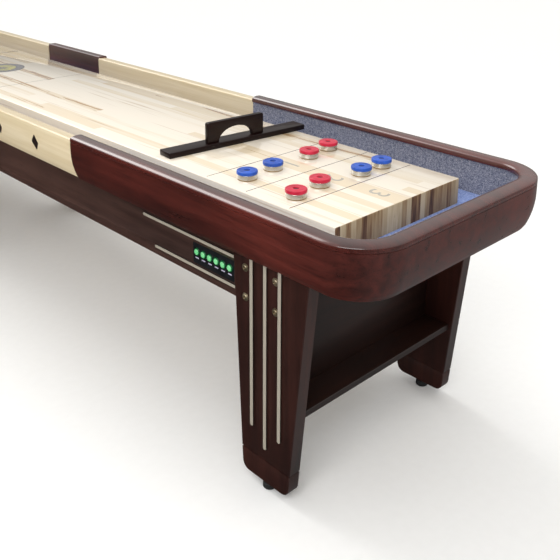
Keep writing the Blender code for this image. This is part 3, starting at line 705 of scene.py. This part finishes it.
# ---- playfield ----------------------------------------------------------------------------
class SHUFFLEBOARD_OT_playfield(bpy.types.Operator):
    """Finish the playfield and lay its lines, numerals and emblem"""
    bl_idname = "shuffleboard.playfield"
    bl_label = "Playfield and Markings"

    def execute(self, context):
        sizes = context.scene.shuffleboard.board
        _, high = node_box("playfield")
        # pale strips deep under a clear mirror-like coat
        slab = butcher_block("polymer_coated_butcher_block", high.x, sizes.strip, opaque(sizes.block_light),
                             opaque(sizes.block_middle), opaque(sizes.block_brown))
        piece("playfield_slab", eased_copy("playfield", 0.0), slab, stands_for=["playfield"])
        # thin flat inks under the same clear coat
        line = moulded("brown_screen_ink", linear("4a3b33"), linear("3a2d27"), 0.25, Coat_Weight=1.0,
                       Coat_Roughness=0.02)
        faint = moulded("grey_screen_ink", linear("c2bbad"), linear("b2ab9d"), 0.25, Coat_Weight=1.0,
                        Coat_Roughness=0.02)
        top = high.z
        half_y = high.y - sizes.line_inset
        for end, sign in ENDS:
            places = [sizes.zone, 2 * sizes.zone, 3 * sizes.zone, sizes.foul]
            for i, place in enumerate(places):
                x = sign * (high.x - place)
                bm = block((x - sizes.line_width / 2, -half_y, top + INK_LOW),
                           (x + sizes.line_width / 2, half_y, top + INK_HIGH))
                piece(f"score_line_{end}_{i + 1}", bm, line)
            for i in range(3):
                centre = sign * (high.x - sizes.zone * (i + 0.5))
                self.numeral(str(3 - i), f"zone_numeral_{end}_{3 - i}", centre, sign, top, sizes.numeral,
                             faint)
        self.emblem(sizes.emblem, top)
        return {"FINISHED"}

    def numeral(self, text, name, x, sign, top, height, mat):
        """A plain numeral that reads from the far end of the table."""
        curve = bpy.data.curves.new(name, "FONT")
        curve.body = text
        curve.size = height / 0.7
        curve.extrude = 0.00004
        curve.align_x = "CENTER"
        curve.align_y = "CENTER"
        source = bpy.data.objects.new(name + "_text", curve)
        bpy.context.scene.collection.objects.link(source)
        bpy.context.view_layer.update()
        bm = bmesh.new()
        bm.from_mesh(source.to_mesh())
        source.to_mesh_clear()
        bpy.data.objects.remove(source)
        turn = Matrix.Rotation(-sign * math.pi / 2, 4, "Z")
        bmesh.ops.transform(bm, matrix=Matrix.Translation((x, 0, top + 0.00008)) @ turn, verts=bm.verts)
        bmesh.ops.remove_doubles(bm, verts=bm.verts, dist=0.00001)
        piece(name, bm, mat)

    def emblem(self, radius, top):
        """A plain compass medallion in rings, printed at mid-table."""
        # flat printed colours under the playfield's clear coat
        inks = {"black": ("24242a", "1a1a20"), "grey": ("5c5a60", "4c4a50"), "blue": ("22214e", "191840"),
                "yellow": ("c9bf4a", "aba23c")}
        finishes = {colour: moulded(f"{colour}_medallion_ink", linear(light), linear(dark), 0.25,
                                    Coat_Weight=1.0) for colour, (light, dark) in inks.items()}
        rings = (("rim", 1.0, 0.93, "black"), ("band", 0.93, 0.68, "grey"), ("line", 0.68, 0.61, "black"),
                 ("field", 0.61, 0.0, "yellow"))
        for name, outer, inner, ink_name in rings:
            low, high = top + INK_LOW, top + INK_HIGH
            corners = [(radius * inner, low), (radius * outer, low), (radius * outer, high),
                       (radius * inner, high)]
            piece(f"emblem_{name}", lathe(corners, 64, Matrix.Identity(4), closed=bool(inner)),
                  finishes[ink_name])
        points = []
        for i in range(16):
            reach = radius * (0.54 if i % 4 == 0 else 0.34 if i % 2 == 0 else 0.13)
            points.append((reach * math.cos(i * math.pi / 8), reach * math.sin(i * math.pi / 8)))
        piece("emblem_star", extrude_outline(points, 2, top + INK_HIGH + 0.00001, top + INK_HIGH + 0.0001),
              finishes["blue"])


class SHUFFLEBOARD_OT_floor_carpet(bpy.types.Operator):
    """Finish the gutter's floor carpet and the deck under it"""
    bl_idname = "shuffleboard.floor_carpet"
    bl_label = "Gutter Floor"

    def execute(self, context):
        # brighter blue heather on the floor than on the walls, over bare birch and a black cradle
        paint(looped_carpet("blue_gutter_carpet", linear("b2bfe0"), linear("6a82bd"), linear("475e98"),
                            linear("8698cc")), "gutter_carpet")
        paint(clear_maple("birch_plywood", linear("cdb083"), linear("a98a5e")), "gutter_deck")
        paint(lacquered_wood("black_painted_cradle", linear("241a18"), linear("151010"), "x", 0.6, 0.0),
              "cradle_beam_front", "cradle_beam_back", "cross_member_near", "cross_member_middle",
              "cross_member_far")
        return {"FINISHED"}


# ---- legs and aprons ----------------------------------------------------------------------
class SHUFFLEBOARD_OT_legs(bpy.types.Operator):
    """Finish the legs, their panels, shelves and levelling feet, and add strips and bolts"""
    bl_idname = "shuffleboard.legs"
    bl_label = "Legs"

    def execute(self, context):
        cabinet = context.scene.shuffleboard.cabinet
        trim = context.scene.shuffleboard.trim
        tones = opaque(cabinet.frame_light), opaque(cabinet.frame_dark)
        # upright grain on the legs and a near-black, duller panel and shelf between them
        upright = lacquered_wood("espresso_lacquered_leg", *tones, "z", roughness=0.34, coat=0.3)
        across = lacquered_wood("dark_lacquered_panel", linear("30160f"), linear("190c09"), "y",
                                roughness=0.42, coat=0.2)
        # warm dull silver whose dark sides are painted shade, and old nickel with a yellow cast
        silver = metal("satin_anodised_strip", linear("dcd3c2"), linear("b9b0a0"), 0.42, 0.45, (60, 60, 1))
        dark = moulded("dark_strip_side_painted_shade", linear("2a1c19"), linear("1a1110"), 0.45)
        bolt = metal("antique_nickel_bolt", linear("b8aa8e"), linear("7d6f56"), 0.34, 0.85)
        rubber = moulded("black_moulded_rubber", linear("262626"), linear("161616"), 0.6)
        hood_low = node_box("hood_near")[0].z
        for station in ("near", "middle", "far"):
            for side, turn in SIDES:
                name = f"leg_{station}_{side}"
                low, high = node_box(name)
                piece(f"{name}_plate", eased_copy(name, 0.0), upright, stands_for=[name],
                      smooth=30)
                face = turn * max(abs(low.y), abs(high.y))
                foot = f"leveller_{station}_{side}"
                centre = (node_box(foot)[0].x + node_box(foot)[1].x) / 2
                way = -1 if station == "far" else 1
                top = hood_low - 0.001
                half = trim.leg_strip / 2
                for i, (offset, bottom) in enumerate(LEG_STRIPS):
                    x = centre + way * offset
                    outline = arc(x, bottom + half, half, 180, 360, 12) + [(x + half, top), (x - half, top)]
                    faced_strip(f"leg_strip_{station}_{side}_{i + 1}", outline, face, turn, trim.proud,
                                silver, dark)
                for i, (offset, level) in enumerate(LEG_BOLTS):
                    self.bolt(f"leg_bolt_{station}_{side}_{i + 1}", centre + way * offset, level, face, turn,
                              trim.bolt_radius, bolt)
                piece(f"{foot}_foot_pad", eased_copy(foot, 0.0), rubber, body=body_of(foot),
                      stands_for=[foot])
            # the middle legs have no panel or shelf between them
            for part in ("leg_panel", "leg_shelf") if station != "middle" else ():
                name = f"{part}_{station}"
                piece(f"{name}_board", eased_copy(name, 0.0010 if part == "leg_panel" else 0.0), across,
                      stands_for=[name])
        return {"FINISHED"}

    def bolt(self, name, x, level, face, turn, radius, mat):
        """A joint-connector bolt: thin washer, domed head and a round recess."""
        place = Matrix.Translation((x, face, level)) @ Matrix.Rotation(-turn * math.pi / 2, 4, "X")
        r = radius
        profile = [(0, 0.0001), (r * 0.96, 0.0001), (r, 0.0005), (r * 0.96, 0.0014), (r * 0.74, 0.0016)]
        profile += [(r * 0.70, 0.0030), (r * 0.60, 0.0042), (r * 0.44, 0.0049), (r * 0.36, 0.0050)]
        profile += [(r * 0.32, 0.0046), (r * 0.30, 0.0016), (0, 0.0016)]
        piece(name, lathe(profile, 24, place), mat)


class SHUFFLEBOARD_OT_aprons(bpy.types.Operator):
    """Finish the aprons and add their strips"""
    bl_idname = "shuffleboard.aprons"
    bl_label = "Aprons"

    def execute(self, context):
        cabinet = context.scene.shuffleboard.cabinet
        trim = context.scene.shuffleboard.trim
        # greyer and duller than the hood, with the legs' silver strips
        wood = lacquered_wood("espresso_lacquered_apron", opaque(cabinet.apron_light),
                              opaque(cabinet.apron_dark), "x", roughness=0.34, coat=0.3)
        # the strips' dark sides are painted shade
        dark = moulded("dark_apron_strip_side_painted_shade", linear("2a1c19"), linear("1a1110"), 0.45)
        silver = metal("satin_anodised_apron_strip", linear("dcd3c2"), linear("b9b0a0"), 0.42, 0.45,
                       (1, 60, 60))
        for side, turn in SIDES:
            for end, sign in ENDS:
                name = f"apron_{side}_{end}"
                low, high = node_box(name)
                # the board with the panel's pocket keeps its sharp edges, as the plate fills the pocket
                piece(f"{name}_board", eased_copy(name, 0.0), wood, stands_for=[name])
                face = turn * max(abs(low.y), abs(high.y))
                leg_low, leg_high = node_box(f"leg_{end}_{side}")
                inner = min(abs(leg_low.x), abs(leg_high.x))
                half = trim.apron_strip / 2
                for i, (level, length) in enumerate(APRON_STRIPS):
                    # the legs' inner edges lean, so a lower strip ends further out
                    right = inner + LEG_LEAN * (leg_high.z - level) - STRIP_GAP
                    outline = arc(right - length + half, level, half, 90, 270, 10)
                    outline += [(right, level - half), (right, level + half)]
                    faced_strip(f"apron_strip_{side}_{end}_{i + 1}", [(sign * u, v) for u, v in outline],
                                face, turn, trim.proud, silver, dark)
        return {"FINISHED"}


# ---- control panel ------------------------------------------------------------------------
class SHUFFLEBOARD_OT_panel(bpy.types.Operator):
    """Build the control panel's plate, rings of painted shade round the buttons, buttons and plain marks"""
    bl_idname = "shuffleboard.panel"
    bl_label = "Control Panel"

    def execute(self, context):
        trim = context.scene.shuffleboard.trim
        # a satin black plate, dark green rings of painted shade round the buttons' holes and bright glossy
        # lenses with a faint painted glow
        black = moulded("black_screened_polycarbonate", linear("1d1f23"), linear("121317"), 0.32)
        shade_ring = moulded("dark_green_painted_shade_ring", linear("12402a"), linear("0c2c1d"), 0.28)
        white = moulded("lilac_screen_ink", linear("b9b3c9"), linear("a8a2ba"), 0.45)
        # the lenses' faint green emission is a painted glow
        lens = moulded("green_lens_painted_glow", opaque(trim.lens), linear("5fc47c"), 0.12, 900.0, 0.02,
                       Coat_Weight=1.0, Coat_Roughness=0.03, Emission_Color=linear("4fc070"),
                       Emission_Strength=0.10)
        collar = moulded("green_moulded_collar", linear("1f7a45"), linear("155c33"), 0.25, Coat_Weight=0.5)
        paint(black, "control_plate")
        paint(moulded("green_solder_mask", linear("14552f"), linear("0d3f22"), 0.4), "control_board")
        plate_low = node_box("control_plate")[0]
        for i in range(6):
            name = f"button_{i + 1}"
            low, high = node_box(name)
            radius = (high.x - low.x) / 2
            centre = (low + high) / 2
            face = plate_low.y
            place = Matrix.Translation((centre.x, face, centre.z)) @ Matrix.Rotation(math.pi / 2, 4, "X")
            back = high.y - face
            proud = face - low.y
            profile = [(0, -back), (radius, -back), (radius, proud * 0.30), (radius * 0.95, proud * 0.42),
                       (radius * 0.80, proud * 0.42), (0, proud * 0.40)]
            piece(f"{name}_collar", lathe(profile, 32, place), collar, body=body_of(name), stands_for=[name],
                  smooth=30)
            dome = [(radius * 0.80 * u, proud * (0.43 + 0.57 * v)) for u, v in arc(0, 0, 1, 0, 90, 10)[:-1]]
            dome = [(0, proud * 0.41), (radius * 0.80, proud * 0.41)] + dome + [(0, proud)]
            piece(f"{name}_lens", lathe(dome, 32, place), lens, body=body_of(name), smooth=50)
            # a dark green ring round each button is painted shade of its hole
            corners = [(radius * 1.06, 0.0001), (radius * 1.24, 0.0001), (radius * 1.20, 0.0010),
                       (radius * 1.10, 0.0010)]
            piece(f"button_shade_ring_{i + 1}", lathe(corners, 32, place, closed=True), shade_ring)
            mark = block((centre.x - 0.0070, face - 0.00035, centre.z - 0.0193),
                         (centre.x + 0.0070, face - 0.00005, centre.z - 0.0160))
            piece(f"button_mark_{i + 1}", mark, white)
        screw = metal("zinc_screw_head", linear("8f8f8c"), linear("5c5c5a"), 0.35)
        screw_x, screw_level = SCREW_PLACE
        place = Matrix.Translation((screw_x, plate_low.y, screw_level)) @ Matrix.Rotation(math.pi / 2, 4, "X")
        piece("apron_screw", lathe([(0, 0.0001), (0.0026, 0.0001), (0.0024, 0.0007), (0.0008, 0.0011),
                                    (0, 0.0007)], 16, place), screw)
        return {"FINISHED"}


# ---- pucks and sweep ----------------------------------------------------------------------
class SHUFFLEBOARD_OT_pucks(bpy.types.Operator):
    """Build each puck's steel weight and plastic cap"""
    bl_idname = "shuffleboard.pucks"
    bl_label = "Pucks"

    def execute(self, context):
        trim = context.scene.shuffleboard.trim
        # bright turned steel on a yellow base, the yellow a painted reflection of the playfield, under caps
        # with a soft plastic shine
        steel = metal("satin_chromed_steel_weight", linear("dddbd6"), linear("aeaca6"), 0.22, 1.0, (1, 1, 60))
        caps = {
            "red": moulded("red_abs_cap", opaque(trim.red), linear("c41c39"), 0.30, 700.0, 0.1),
            "blue": moulded("blue_abs_cap", opaque(trim.blue), linear("1f4aa8"), 0.34, 700.0, 0.1)}
        base_reflection = metal("brass_tone_painted_reflection", linear("b08c52"), linear("8a6a3a"), 0.3, 1.0, (1, 1, 60))
        # the dark discs at the bottom of the caps' centre recesses are painted shade
        recess_shades = {
            "red": moulded("dark_red_cap_well", linear("7c1a2c"), linear("5c1420"), 0.5),
            "blue": moulded("blue_cap_recess_painted_shade", linear("23346e"), linear("1a2650"), 0.5)}
        for name in sorted(n for n in NODES if n.startswith("puck_")):
            low, high = node_box(name)
            r = (high.x - low.x) / 2
            height = high.z - low.z
            seat = height * (1 - trim.cap_share)
            place = Matrix.Translation(((low.x + high.x) / 2, (low.y + high.y) / 2, low.z))
            colour = "red" if "_red_" in name else "blue"
            foot = height * 0.10
            weight = [(0, foot), (r * 0.95, foot), (r * 0.955, foot + 0.0004), (r * 0.955, seat * 0.92),
                      (r * 0.93, seat - 0.0002), (0, seat - 0.0002)]
            base = [(0, 0), (r * 0.90, 0), (r * 0.94, height * 0.03), (r * 0.95, foot - 0.0001),
                    (0, foot - 0.0001)]
            piece(f"{name}_base", lathe(base, 48, place), base_reflection, body=body_of(name), smooth=30)
            piece(f"{name}_steel", lathe(weight, 48, place), steel, body=body_of(name),
                  stands_for=[name], smooth=30)
            cap = [(0, seat), (r * 0.97, seat), (r, seat + height * 0.03), (r, height * 0.90),
                   (r * 0.975, height * 0.965), (r * 0.92, height), (r * 0.82, height),
                   (r * 0.79, height * 0.985), (r * 0.74, height * 0.985), (r * 0.71, height),
                   (r * 0.32, height), (r * 0.29, height * 0.97), (r * 0.27, height * 0.88),
                   (0, height * 0.88)]
            piece(f"{name}_cap", lathe(cap, 48, place), caps[colour], body=body_of(name), smooth=30)
            well = [(0, height * 0.881), (r * 0.26, height * 0.881), (r * 0.25, height * 0.895),
                    (0, height * 0.895)]
            piece(f"{name}_well", lathe(well, 32, place), recess_shades[colour], body=body_of(name), smooth=30)
        return {"FINISHED"}


class SHUFFLEBOARD_OT_sweep(bpy.types.Operator):
    """Finish the sweep's bar and handle"""
    bl_idname = "shuffleboard.sweep"
    bl_label = "Sweep"

    def execute(self, context):
        # nearly black wood with a thin shine on its edges
        bar = lacquered_wood("black_walnut_stained_bar", linear("22110e"), linear("100807"), "y",
                             roughness=0.36, coat=0.08, coat_roughness=0.06, shine=0.2)
        piece("sweep_bar_board", eased_copy("sweep_bar", 0.0), bar, body=body_of("sweep_bar"),
              stands_for=["sweep_bar"], smooth=50)
        piece("sweep_handle_board", eased_copy("sweep_handle", 0.0012, sharp=40), bar,
              body=body_of("sweep_handle"), stands_for=["sweep_handle"], smooth=30)
        return {"FINISHED"}


# ---- stage --------------------------------------------------------------------------------
class SHUFFLEBOARD_OT_stage(bpy.types.Operator):
    """Set the camera, the pale floor and the soft light"""
    bl_idname = "shuffleboard.stage"
    bl_label = "Stage"

    def execute(self, context):
        sizes = context.scene.shuffleboard.stage
        scene = context.scene
        lens = bpy.data.cameras.new("camera")
        lens.lens = sizes.lens
        lens.sensor_width = 36.0
        lens.shift_y = sizes.upright_shift
        lens.clip_end = 200.0
        camera = bpy.data.objects.new("camera", lens)
        scene.collection.objects.link(camera)
        aim = Matrix.Rotation(sizes.azimuth, 4, "Z") @ Matrix.Rotation(math.pi / 2 - sizes.elevation, 4, "X")
        aim = aim @ Matrix.Rotation(sizes.roll, 4, "Z")
        camera.matrix_world = Matrix.Translation(sizes.position) @ aim
        scene.camera = camera
        floor = bmesh.new()
        bmesh.ops.create_grid(floor, x_segments=2, y_segments=2, size=FLOOR_HALF)
        bmesh.ops.translate(floor, vec=(0, 0, CAD_BOX[0][2] - 0.0005), verts=floor.verts)
        mesh = bpy.data.meshes.new("floor")
        floor.to_mesh(mesh)
        floor.free()
        ground = bpy.data.objects.new("floor", mesh)
        # matt white that only shows soft shadows
        mesh.materials.append(moulded("pale_studio_floor", linear("fdfdfc"), linear("fbfbfa"), 0.9, 20.0,
                                      0.0))
        scene.collection.objects.link(ground)
        ground.visible_glossy = False
        self.sky(scene, sizes.fill)
        lamp = bpy.data.lights.new("key", "AREA")
        lamp.shape = "RECTANGLE"
        lamp.size = 3.0
        lamp.size_y = 2.0
        lamp.energy = sizes.key
        source = bpy.data.objects.new("key", lamp)
        scene.collection.objects.link(source)
        towards = Vector(KEY_AIM) - Vector(KEY_PLACE)
        turned = towards.to_track_quat("-Z", "Y").to_matrix().to_4x4()
        source.matrix_world = Matrix.Translation(KEY_PLACE) @ turned
        scene.view_settings.view_transform = "Standard"
        return {"FINISHED"}

    def sky(self, scene, strength):
        """A bright room above, and below the table's level a pale side and a dim side."""
        world = bpy.data.worlds.new("studio")
        scene.world = world
        world.use_nodes = True
        tree = world.node_tree
        shine = tree.nodes["Background"]
        aim = add(tree, "TexCoord").outputs["Generated"]
        axes = add(tree, "SeparateXYZ", {0: aim})
        side = add(tree, "VectorMath", {0: aim, 1: (0.72, 0.69, 0.0)}, operation="DOT_PRODUCT")
        low = add(tree, "MapRange", {"Value": side.outputs["Value"], "From Min": -0.2, "From Max": 0.75,
                                     "To Min": 0.03, "To Max": 0.34})
        rise = add(tree, "MapRange", {"Value": axes.outputs[2], "From Min": -0.03, "From Max": 0.22})
        high = add(tree, "MapRange", {"Value": axes.outputs[2], "From Max": 0.8, "To Min": 0.45,
                                      "To Max": 1.25})
        level = add(tree, "Mix", {0: rise.outputs[0], 2: low.outputs[0], 3: high.outputs[0]})
        # a soft window beyond the table's far end puts a highlight along the crowned rims
        window = add(tree, "VectorMath", {0: aim, 1: (-0.74, 0.0, 0.67)}, operation="DOT_PRODUCT")
        window = add(tree, "MapRange", {"Value": window.outputs["Value"], "From Min": 0.94, "From Max": 0.98,
                                        "To Max": 4.5})
        add(tree, "Math", {0: level.outputs[0], 1: strength, 2: window.outputs[0]}, operation="MULTIPLY_ADD",
            to=shine.inputs["Strength"])
        shine.inputs["Color"].default_value = linear("fdfcfa")


# ---- panel, registration and main ---------------------------------------------------------
STEPS = (SHUFFLEBOARD_OT_hoods, SHUFFLEBOARD_OT_rails, SHUFFLEBOARD_OT_playfield,
         SHUFFLEBOARD_OT_floor_carpet, SHUFFLEBOARD_OT_legs, SHUFFLEBOARD_OT_aprons,
         SHUFFLEBOARD_OT_panel, SHUFFLEBOARD_OT_pucks, SHUFFLEBOARD_OT_sweep, SHUFFLEBOARD_OT_stage)


class ShuffleboardSettings(bpy.types.PropertyGroup):
    """All settings of the table."""
    cabinet: bpy.props.PointerProperty(name="Cabinet", description="Walls, rims and rails",
                                       type=CabinetSettings)
    board: bpy.props.PointerProperty(name="Board", description="Playfield and markings", type=BoardSettings)
    trim: bpy.props.PointerProperty(name="Trim", description="Strips, bolts and pucks", type=TrimSettings)
    stage: bpy.props.PointerProperty(name="Stage", description="Camera, floor and light", type=StageSettings)


class SHUFFLEBOARD_PT_sidebar(bpy.types.Panel):
    """Settings and building steps of the table"""
    bl_idname = "SHUFFLEBOARD_PT_sidebar"
    bl_label = "Shuffleboard Table"
    bl_space_type = "VIEW_3D"
    bl_region_type = "UI"
    bl_category = "Shuffleboard"

    def draw(self, context):
        settings = context.scene.shuffleboard
        for group, kind in GROUPS:
            box = self.layout.box()
            box.label(text=group.title())
            for name in kind.__annotations__:
                box.prop(getattr(settings, group), name)
        for step in STEPS:
            self.layout.operator(step.bl_idname)


CLASSES = (*(kind for _, kind in GROUPS), ShuffleboardSettings, *STEPS, SHUFFLEBOARD_PT_sidebar)


def register():
    for kind in CLASSES:
        bpy.utils.register_class(kind)
    bpy.types.Scene.shuffleboard = bpy.props.PointerProperty(type=ShuffleboardSettings)


def unregister():
    del bpy.types.Scene.shuffleboard
    for kind in reversed(CLASSES):
        bpy.utils.unregister_class(kind)


def main():
    register()
    bpy.ops.shuffleboard.hoods()
    bpy.ops.shuffleboard.rails()
    bpy.ops.shuffleboard.playfield()
    bpy.ops.shuffleboard.floor_carpet()
    bpy.ops.shuffleboard.legs()
    bpy.ops.shuffleboard.aprons()
    bpy.ops.shuffleboard.panel()
    bpy.ops.shuffleboard.pucks()
    bpy.ops.shuffleboard.sweep()
    bpy.ops.shuffleboard.stage()


if __name__ == "__main__":
    main()
